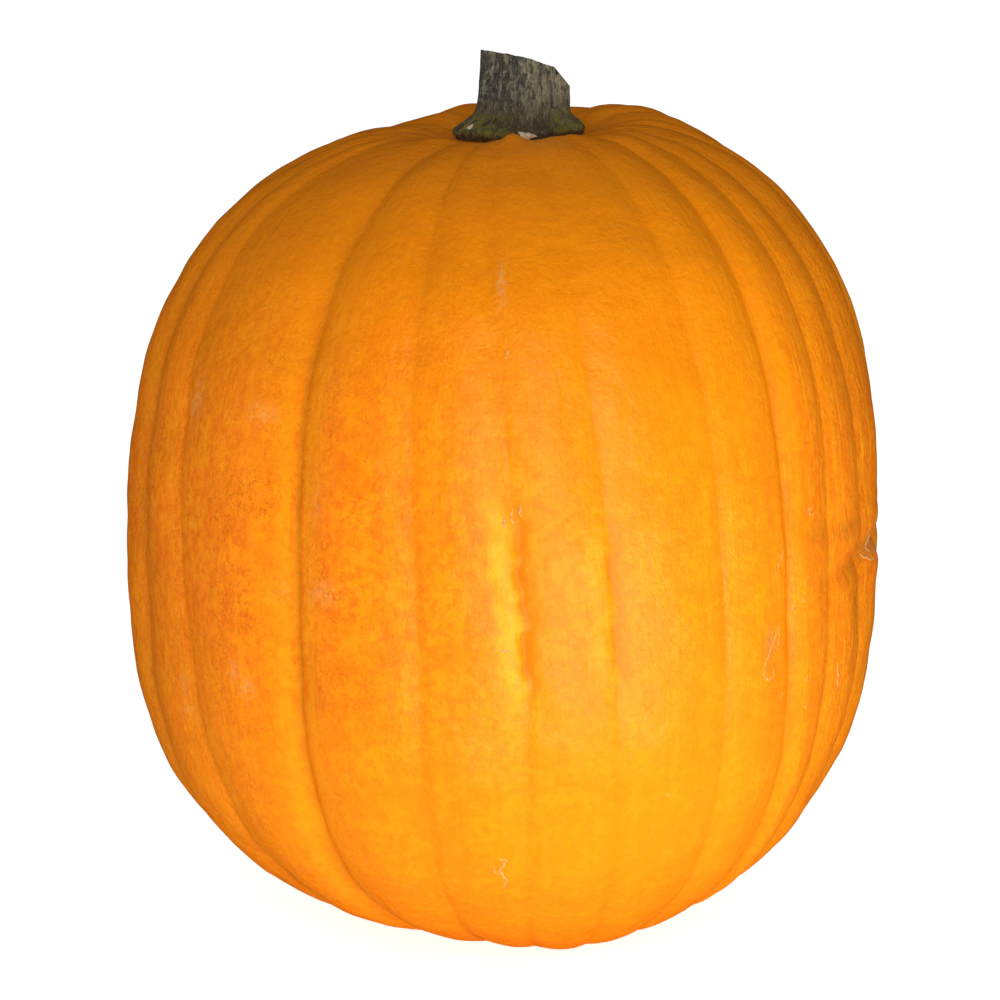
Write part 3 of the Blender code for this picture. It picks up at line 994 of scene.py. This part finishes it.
class PUMPKIN_OT_cork_scars(bpy.types.Operator):
    """Makes the raised cork scars, ticks and healed scratches that lie on the rind"""

    bl_idname = "pumpkin.cork_scars"
    bl_label = "Make Cork Scars"

    def execute(self, context):
        settings = context.scene.pumpkin_cork
        rings = np.stack([scar_rings(scar[1:], scar[0] * MM, settings.height) for scar in SCARS])
        starts, ends = rings[:, 0].mean(axis=1), rings[:, -1].mean(axis=1)
        mesh = many_ring_meshes("cork_scars", starts, rings, ends)
        put_in_scene(context, mesh, cork_material(settings), "rind")
        return {"FINISHED"}


# ---- Stem ----

STEM_COLUMNS = 320
SIDE_ROWS = 130
SIDE_CROWDING = 1.35  # exponent that crowds the side's rows towards the foot
UNDER_SHARES = (0.3, 0.6, 0.85)  # rings of the underside, as shares of the foot
CUT_SHARES = (0.985, 0.96, 0.92, 0.86, 0.78, 0.70, 0.60, 0.50, 0.40, 0.30, 0.20, 0.10)
CREST_HEIGHT = 0.0007  # how far a ridge's crest stands out over its rounded flank
CREST_WIDTH = 8 * DEG
GRAIN_STRETCH = 0.13  # the bark's grain is drawn out along the stem by one over this

# Sets of waves: height, wavelength, seed and, if not 20, count.
BARK_GRAIN = ((0.00034, 0.0058, 21), (0.00016, 0.0021, 22), (0.00007, 0.0011, 23, 28))
FOOT_LUMPS = ((0.00055, 0.0075, 24), (0.0002, 0.003, 25))
FOOT_EDGE = ((0.0012, 0.006, 51),)
CUT_FRAYING = ((0.00016, 0.0026, 31), (0.00025, 0.008, 32))
CUT_STEPS = 4  # steps from a first guess to the height of the cut


def stem_radius(azimuth, height):
    """The waist, widening to the foot near the seat, tucked in under it, with rounded ridges. The
    foot is lower and narrower on the right."""
    height = np.maximum(height, 0.0)
    waist = WAIST_RADIUS - WAIST_TAPER * height
    side = np.sin(azimuth)
    foot = np.exp(-((height / (FOOT_HEIGHT * (1.0 - FOOT_SLANT * side))) ** 3))
    tuck = FOOT_TUCK * np.exp(-((height / TUCK_HEIGHT) ** 2))
    radius = waist + (FOOT_RADIUS - FOOT_LOPSIDE * side - waist) * foot - tuck
    return radius * (1.0 + RIDGE_RELIEF * np.cos(RIDGES * (azimuth - RIDGE_AZIMUTH)))


def bark_relief(azimuth, height):
    """Fine relief of the bark: sharper crests on the ridges, flutes and fibres drawn out along the
    stem, and lumps on the foot."""
    ridge = wrapped(RIDGES * (azimuth - RIDGE_AZIMUTH)) / RIDGES
    foot = np.exp(-((height / (1.2 * FOOT_HEIGHT)) ** 2))
    relief = CREST_HEIGHT * np.exp(-((ridge / CREST_WIDTH) ** 2)) * (1.0 - 0.4 * foot)
    around = [WAIST_RADIUS * np.sin(azimuth), -WAIST_RADIUS * np.cos(azimuth)]
    drawn_out = np.stack([*around, height * GRAIN_STRETCH], axis=-1)
    lumpy = np.stack([*around, height], axis=-1)
    relief += layered_waves(drawn_out, BARK_GRAIN)
    return relief + foot * layered_waves(lumpy, FOOT_LUMPS)


def stem_points(azimuth, height, share=1.0):
    """Points of the stem at an azimuth and height, or at a share of the way out to its side."""
    radius = (stem_radius(azimuth, height) + bark_relief(azimuth, height)) * share
    across = radius * np.sin(azimuth) + STEM_DRIFT * height
    return lean(across, -radius * np.cos(azimuth), SEAT_HEIGHT + STEM_CLEARANCE + height)


def cut_planes():
    """A point on, and the normal of, the knife cut and of the broken corner."""
    knife = Matrix.Rotation(CUT_FALL_RIGHT, 3, "Y") @ Matrix.Rotation(-CUT_FALL_BACK, 3, "X")
    corner = knife @ Matrix.Rotation(CORNER_FALL, 3, "Y")
    middle = Vector(lean(STEM_DRIFT * CUT_HEIGHT, 0.0, SEAT_HEIGHT + CUT_HEIGHT))
    up = Vector((0.0, 0.0, 1.0))
    reach = middle + knife @ Vector((CORNER_REACH, 0.0, 0.0))
    return [(np.array(middle), np.array(knife @ up)), (np.array(reach), np.array(corner @ up))]


def height_left(azimuth, height, share=1.0):
    """Height at which the stem is cut, above each azimuth: the lower of the two planes, reached by
    stepping up or down the axis from a first guess, and frayed a little."""
    for _ in range(CUT_STEPS):
        points = stem_points(azimuth, height, share)
        over = [(points - middle) @ normal / (STEM_AXIS @ normal) for middle, normal in cut_planes()]
        height = height - np.maximum(*over) + 0.35 * layered_waves(points, CUT_FRAYING)
    return height


def stem_grid():
    """Azimuth, height, share of the side's radius, and how much each ring belongs to the cut face:
    rings of the underside, then of the side, then of the cut."""
    turn = np.linspace(0.0, 2 * math.pi, STEM_COLUMNS, endpoint=False)
    top = height_left(turn, np.full(STEM_COLUMNS, CUT_HEIGHT))
    rows = [(turn, 0.0 * turn, share, 0.0) for share in UNDER_SHARES]
    rows += [(turn, top * step**SIDE_CROWDING, 1.0, 0.0) for step in np.linspace(0.0, 1.0, SIDE_ROWS)]
    for share in CUT_SHARES:
        rows.append((turn, height_left(turn, top, share), share, 1.0))
    spread = [[np.broadcast_to(value, turn.shape) for value in row] for row in rows]
    return [np.stack(column) for column in zip(*spread)]


def facet(azimuth, first, last):
    """1 between two azimuths in degrees, with soft edges."""
    middle, half = (first + last) / 2, (last - first) / 2
    return 1.0 - smooth_step(half - 8, half + 8, np.abs(wrapped(azimuth - middle * DEG)) / DEG)


def bark_material(settings):
    """Weathered bark: charcoal and bleached straw facets streaked lengthwise, pale flecks, a brown
    base with moss on it, and the grey-green face of the cut."""
    material, tree, shader, place = new_material("weathered_bark", 0.78)
    along = lengthwise(tree)

    broad = streaks(tree, along, 420.0, 120.0, 0.36, 0.62)
    fine = streaks(tree, along, 2100.0, 420.0, 0.40, 0.60)
    worn = clouds(tree, place, 900.0, 0.40, 0.60)
    dark = blend(tree, times(tree, fine, 0.70), colour(*settings.charcoal), colour(0.12, 0.11, 0.085))
    pale = blend(tree, times(tree, fine, 0.75), colour(*settings.straw), colour(0.13, 0.115, 0.070))
    pale = blend(tree, times(tree, worn, 0.40), pale, colour(0.13, 0.12, 0.085))
    blotches = clouds(tree, place, 330.0, 0.34, 0.66)
    bleached = calculate(tree, "ADD", mask(tree, "straw"), rescale(tree, broad, 0.0, 1.0, -0.32, 0.32))
    bleached = calculate(tree, "ADD", bleached, rescale(tree, blotches, 0.0, 1.0, -0.30, 0.24))
    paint = blend(tree, rescale(tree, bleached, 0.05, 0.80), dark, pale)
    flecks = streaks(tree, along, 2600.0, 900.0, 0.57, 0.66)
    paint = layer(tree, paint, flecks, 0.60, (0.46, 0.42, 0.32))
    cracks = streaks(tree, along, 1300.0, 190.0, 0.60, 0.68)
    paint = layer(tree, paint, cracks, 0.85, (0.018, 0.017, 0.014))

    foot = mask(tree, "foot")
    lumps = clouds(tree, place, 420.0, 0.36, 0.62)
    caked = times(tree, foot, rescale(tree, lumps, 0.0, 1.0, 0.75, 1.0))
    paint = blend(tree, caked, paint, colour(*settings.brown))
    green = clouds(tree, place, 300.0, 0.36, 0.60)
    paint = blend(tree, times(tree, mask(tree, "mossy"), green), paint, colour(*settings.moss))
    dust = specks(tree, place, 1400.0, 0.5, 0.22)
    paint = layer(tree, paint, times(tree, dust, foot), 0.6, (0.36, 0.25, 0.12))

    cut = mask(tree, "cut")
    rays = clouds(tree, place, 600.0, 0.40, 0.62)
    face = blend(tree, rays, colour(0.24, 0.225, 0.15), colour(0.46, 0.44, 0.33))
    paint = blend(tree, cut, paint, face)
    tree.links.new(paint, shader.inputs["Base Color"])

    grain = calculate(tree, "SUBTRACT", times(tree, fine, 0.7), cracks)
    grain = calculate(tree, "ADD", grain, times(tree, times(tree, lumps, foot), 0.8))
    raise_bumps(tree, shader, grain, 0.00030)
    return material


class PUMPKIN_OT_stem(bpy.types.Operator):
    """Makes the cut stem with its ridges, lumpy foot, sloping cut and broken corner"""

    bl_idname = "pumpkin.stem"
    bl_label = "Make Stem"

    def execute(self, context):
        azimuth, height, share, cut = stem_grid()
        rings = stem_points(azimuth, height, share)
        mesh = ring_mesh("stem_body", rings[0].mean(axis=0), rings, rings[-1].mean(axis=0))
        around = azimuth * WAIST_RADIUS
        last = np.full((len(azimuth), 1), 2 * math.pi * WAIST_RADIUS)
        add_lengthwise_map(mesh, around, height, last, (0.0, CUT_HEIGHT))
        turn = wrapped(azimuth)
        sunlit = np.maximum(facet(turn, -2, 84), 0.8 * facet(turn, 140, 212))
        ragged = layered_waves(rings, FOOT_EDGE)
        foot = np.exp(-((np.maximum(height + ragged, 0.0) / (2.0 * FOOT_HEIGHT)) ** 4))
        upper = smooth_step(0.0010, 0.0030, height) * (1.0 - smooth_step(0.006, 0.011, height))
        masks = {
            "straw": (0.14 + 0.46 * sunlit) * (1.0 - cut),
            "foot": foot,
            "mossy": upper * np.maximum(facet(turn, -100, -14), 0.9 * facet(turn, 34, 120)),
            "cut": cut,
        }
        add_masks(mesh, masks)
        put_in_scene(context, mesh, bark_material(context.scene.pumpkin_stem), "stem_bark", "stem")
        return {"FINISHED"}


# ---- Loose fibres and chips of the stem ----

FIBRE_ROWS = 9
FIBRE_SIDES = 5
FIBRE_SEED = 41

# Least and greatest of each.
FIBRE_START = (0.0006, 0.010)
FIBRE_LENGTH = (0.0015, 0.0050)
FIBRE_RADIUS = (0.00005, 0.00012)
FIBRE_LIFT = (0.0, 0.0006)
FIBRE_OFFSET = 0.00006  # how far a fibre stands off the bark where it doesn't lift

# Chips: azimuth in degrees, height, half width and half height, and how far it stands off, in mm.
CHIPS = (
    (1, 2.6, 3.6, 1.5, 0.5), (-60, 5.0, 1.4, 1.5, 0.3), (-100, 3.0, 1.4, 1.1, 0.3), (160, 2.2, 2.2, 0.9, 0.4),
)
CHIP_ROWS = 6
CHIP_SIDES = 12


def outward_on_stem(azimuth):
    return lean(np.sin(azimuth), -np.cos(azimuth), 0.0 * azimuth) - GIRTH_MIDDLE


def fibre_rings(count):
    """Rings of loose fibres: thin tapered tubes that run along the bark, each drifting sideways a
    little and lifting off at its upper end."""
    draw = np.random.default_rng(FIBRE_SEED)
    share = np.linspace(0.0, 1.0, FIBRE_ROWS)
    start = draw.uniform(*FIBRE_START, count)[:, None]
    length = draw.uniform(*FIBRE_LENGTH, count)[:, None]
    azimuth = draw.uniform(-math.pi, math.pi, count)[:, None]
    azimuth = azimuth + draw.normal(0.0, 0.05, count)[:, None] * np.sin(2.4 * share)
    radius = draw.uniform(*FIBRE_RADIUS, count)[:, None]
    radius = radius * np.sin(math.pi * (0.06 + 0.88 * share)) ** 0.6
    lift = draw.uniform(*FIBRE_LIFT, count)[:, None] * share**2
    middle = stem_points(azimuth, start + length * share)
    outward = outward_on_stem(azimuth)
    middle = middle + outward * (lift + FIBRE_OFFSET)[..., None]
    sideways = np.cross(outward, STEM_AXIS)
    turn = np.linspace(0.0, 2 * math.pi, FIBRE_SIDES, endpoint=False)
    across = (radius[..., None] * np.cos(turn))[..., None] * sideways[:, :, None]
    up = (radius[..., None] * np.sin(turn))[..., None] * outward[:, :, None]
    return middle[:, :, None] - across + up


def chip_rings():
    """Rings of the chips: flat lenses with wavy outlines, pressed onto the foot of the stem."""
    chips = np.array(CHIPS, float)
    azimuth, height = chips[:, 0] * DEG, chips[:, 1] * MM
    middle = stem_points(azimuth, height)
    outward = outward_on_stem(azimuth)
    sideways = np.cross(STEM_AXIS, outward)
    above = stem_points(azimuth, height + 0.0008) - middle
    above /= np.linalg.norm(above, axis=1, keepdims=True)
    outward = np.cross(sideways, above)
    turn = np.linspace(0.0, 2 * math.pi, CHIP_SIDES, endpoint=False)
    slope = np.linspace(-0.42, 0.42, CHIP_ROWS) * math.pi
    wavy = 1.0 + 0.22 * np.sin(3 * turn + chips[:, :1]) + 0.12 * np.sin(5 * turn + 2.0 * chips[:, :1])
    ring = np.cos(slope)[None, :, None] * wavy[:, None]
    half = chips[:, 2:] * MM
    across = (half[:, 0, None, None] * ring * np.cos(turn))[..., None] * sideways[:, None, None]
    over = (half[:, 1, None, None] * ring * np.sin(turn))[..., None] * above[:, None, None]
    proud = (half[:, 2, None, None] * np.sin(slope)[None, :, None] + 0.0 * ring)[..., None]
    return middle[:, None, None] + across + over + proud * outward[:, None, None]


def fibre_material():
    """Dry pale fibre, darker in places."""
    material, tree, shader, place = new_material("dry_fibre", 0.85)
    grain = clouds(tree, place, 480.0, 0.35, 0.65)
    paint = blend(tree, grain, colour(0.16, 0.11, 0.05), colour(0.42, 0.33, 0.20))
    tree.links.new(paint, shader.inputs["Base Color"])
    raise_bumps(tree, shader, grain, 0.00008)
    return material


def chip_material():
    """Torn rind and pith: pale pinkish tan with brown specks."""
    material, tree, shader, place = new_material("torn_chip", 0.80)
    grain = clouds(tree, place, 700.0, 0.35, 0.65)
    paint = blend(tree, grain, colour(0.50, 0.34, 0.20), colour(0.74, 0.60, 0.42))
    pits = specks(tree, place, 1300.0, 0.5, 0.3)
    paint = layer(tree, paint, pits, 0.7, (0.22, 0.12, 0.05))
    tree.links.new(paint, shader.inputs["Base Color"])
    raise_bumps(tree, shader, grain, 0.00015)
    return material


class PUMPKIN_OT_stem_fibres(bpy.types.Operator):
    """Makes the loose fibres and the torn chips on the stem"""

    bl_idname = "pumpkin.stem_fibres"
    bl_label = "Make Stem Fibres"

    def execute(self, context):
        fibres = fibre_rings(context.scene.pumpkin_stem.fibres)
        mesh = many_ring_meshes("stem_fibres", fibres[:, 0].mean(axis=1), fibres, fibres[:, -1].mean(axis=1))
        put_in_scene(context, mesh, fibre_material(), "stem_bark")
        chips = chip_rings()
        mesh = many_ring_meshes("stem_chips", chips[:, 0].mean(axis=1), chips, chips[:, -1].mean(axis=1))
        put_in_scene(context, mesh, chip_material(), "stem_bark")
        return {"FINISHED"}


# ---- Studio ----

FLOOR_RADIUS = 14.0
FLOOR_SIDES = 96
CAMERA_DISTANCE = 1.195
CAMERA_ELEVATION = 15 * DEG
CAMERA_LENS = 116.3  # millimetres, on a 36 mm sensor
AIM_ACROSS = -0.0018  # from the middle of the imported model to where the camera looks
AIM_UP = -0.0050

# Lights: name, width, height, the setting that gives its power, azimuth, elevation and distance.
SOFTBOXES = (
    ("tall_softbox", 0.7, 1.3, "key", 6, 14, 1.7),
    ("table_sheen", 0.36, 0.14, "sheen", 20, -16, 0.50),
    ("left_strip", 0.4, 1.2, "rim", -70, 12, 1.4),
)


def around_object(azimuth, elevation, distance, aim):
    """A place at an azimuth and elevation, as seen from the aim."""
    ahead, up = math.cos(elevation) * distance, math.sin(elevation) * distance
    return aim + Vector((ahead * math.sin(azimuth), -ahead * math.cos(azimuth), up))


def turn_towards(obj, aim):
    obj.rotation_euler = (aim - obj.location).to_track_quat("-Z", "Y").to_euler()


def add_camera(context, aim):
    camera = bpy.data.objects.new("camera", bpy.data.cameras.new("camera"))
    camera.data.lens = CAMERA_LENS
    camera.data.sensor_width = 36.0
    camera.location = around_object(0.0, CAMERA_ELEVATION, CAMERA_DISTANCE, aim)
    turn_towards(camera, aim)
    context.scene.collection.objects.link(camera)
    bpy.context.scene.camera = camera


def add_softbox(context, name, width, height, power, azimuth, elevation, distance, aim):
    light = bpy.data.lights.new(name, "AREA")
    light.shape = "RECTANGLE"
    light.size = width
    light.size_y = height
    light.energy = power
    softbox = bpy.data.objects.new(name, light)
    softbox.location = around_object(azimuth * DEG, elevation * DEG, distance, aim)
    turn_towards(softbox, aim)
    softbox.visible_camera = False
    context.scene.collection.objects.link(softbox)


def add_sky(context, strength):
    """Pale light from all round, dimmer overhead, with plain white behind the object. The wax
    doesn't mirror it."""
    world = bpy.data.worlds.new("studio_sky")
    world.use_nodes = True
    context.scene.world = world
    tree = world.node_tree
    direction = tree.nodes.new("ShaderNodeTexCoord").outputs["Generated"]
    up = put(tree, "ShaderNodeSeparateXYZ", Vector=direction).outputs["Z"]
    level = rescale(tree, up, 0.05, 0.9, strength, 0.80 * strength)
    seen = tree.nodes.new("ShaderNodeLightPath").outputs["Is Camera Ray"]
    level = calculate(tree, "MAXIMUM", level, seen)
    feed(tree, tree.nodes["Background"].inputs["Strength"], level)
    tree.nodes["Background"].inputs["Color"].default_value = colour(1.0, 1.0, 1.0)
    world.cycles_visibility.glossy = False


def floor_material(settings):
    """Plain pale board, with the faintest clouds in it. It looks brighter to the camera than the
    light that it throws up."""
    material, tree, shader, place = new_material("pale_floor", 0.6)
    tint = clouds(tree, place, 6.0, 0.3, 0.7)
    paint = blend(tree, tint, colour(*settings.floor), colour(*[0.985 * value for value in settings.floor]))
    tree.links.new(paint, shader.inputs["Base Color"])
    shader.inputs["Emission Color"].default_value = colour(1.0, 1.0, 1.0)
    seen = tree.nodes.new("ShaderNodeLightPath").outputs["Is Camera Ray"]
    glow = rescale(tree, seen, 0.0, 1.0, settings.bounce, settings.glow)
    feed(tree, shader.inputs["Emission Strength"], glow)
    return material


class PUMPKIN_OT_studio(bpy.types.Operator):
    """Makes the floor, the soft lights and the camera"""

    bl_idname = "pumpkin.studio"
    bl_label = "Make Studio"

    def execute(self, context):
        settings = context.scene.pumpkin_studio
        context.scene.view_settings.view_transform = "Standard"
        low, high = CAD_BOX
        aim = (low + high) / 2 + Vector((AIM_ACROSS, 0.0, AIM_UP))
        turn = np.linspace(0.0, 2 * math.pi, FLOOR_SIDES, endpoint=False)
        rim = np.stack([FLOOR_RADIUS * np.cos(turn), FLOOR_RADIUS * np.sin(turn), 0.0 * turn], axis=-1)
        mesh = mesh_of("floor", rim, np.arange(FLOOR_SIDES), np.array([FLOOR_SIDES]))
        mesh.materials.append(floor_material(settings))
        floor = bpy.data.objects.new("floor", mesh)
        context.scene.collection.objects.link(floor)
        floor.visible_glossy = False
        add_sky(context, settings.sky)
        for name, width, height, power, *place in SOFTBOXES:
            add_softbox(context, name, width, height, getattr(settings, power), *place, aim)
        add_camera(context, aim)
        return {"FINISHED"}


# ---- Panel and registration ----


class PUMPKIN_PT_panel(bpy.types.Panel):
    """Lists the settings and the steps that make the pumpkin"""

    bl_idname = "PUMPKIN_PT_panel"
    bl_label = "Pumpkin"
    bl_space_type = "VIEW_3D"
    bl_region_type = "UI"
    bl_category = "Pumpkin"

    def draw(self, context):
        for operator, group in STEPS:
            box = self.layout.box()
            box.operator(operator)
            settings = getattr(context.scene, group)
            for name in settings.__annotations__:
                box.prop(settings, name)


STEPS = (
    ("pumpkin.rind", "pumpkin_rind"),
    ("pumpkin.cork_scars", "pumpkin_cork"),
    ("pumpkin.stem", "pumpkin_stem"),
    ("pumpkin.stem_fibres", "pumpkin_stem"),
    ("pumpkin.studio", "pumpkin_studio"),
)
GROUPS = {
    "pumpkin_rind": RindSettings,
    "pumpkin_cork": CorkSettings,
    "pumpkin_stem": StemSettings,
    "pumpkin_studio": StudioSettings,
}
CLASSES = (
    *GROUPS.values(),
    PUMPKIN_OT_rind,
    PUMPKIN_OT_cork_scars,
    PUMPKIN_OT_stem,
    PUMPKIN_OT_stem_fibres,
    PUMPKIN_OT_studio,
    PUMPKIN_PT_panel,
)


def register():
    for cls in CLASSES:
        bpy.utils.register_class(cls)
    for name, group in GROUPS.items():
        setattr(bpy.types.Scene, name, PointerProperty(type=group))


def unregister():
    for name in GROUPS:
        delattr(bpy.types.Scene, name)
    for cls in reversed(CLASSES):
        bpy.utils.unregister_class(cls)


def main():
    register()
    bpy.ops.pumpkin.rind()
    bpy.ops.pumpkin.cork_scars()
    bpy.ops.pumpkin.stem()
    bpy.ops.pumpkin.stem_fibres()
    bpy.ops.pumpkin.studio()


if __name__ == "__main__":
    main()
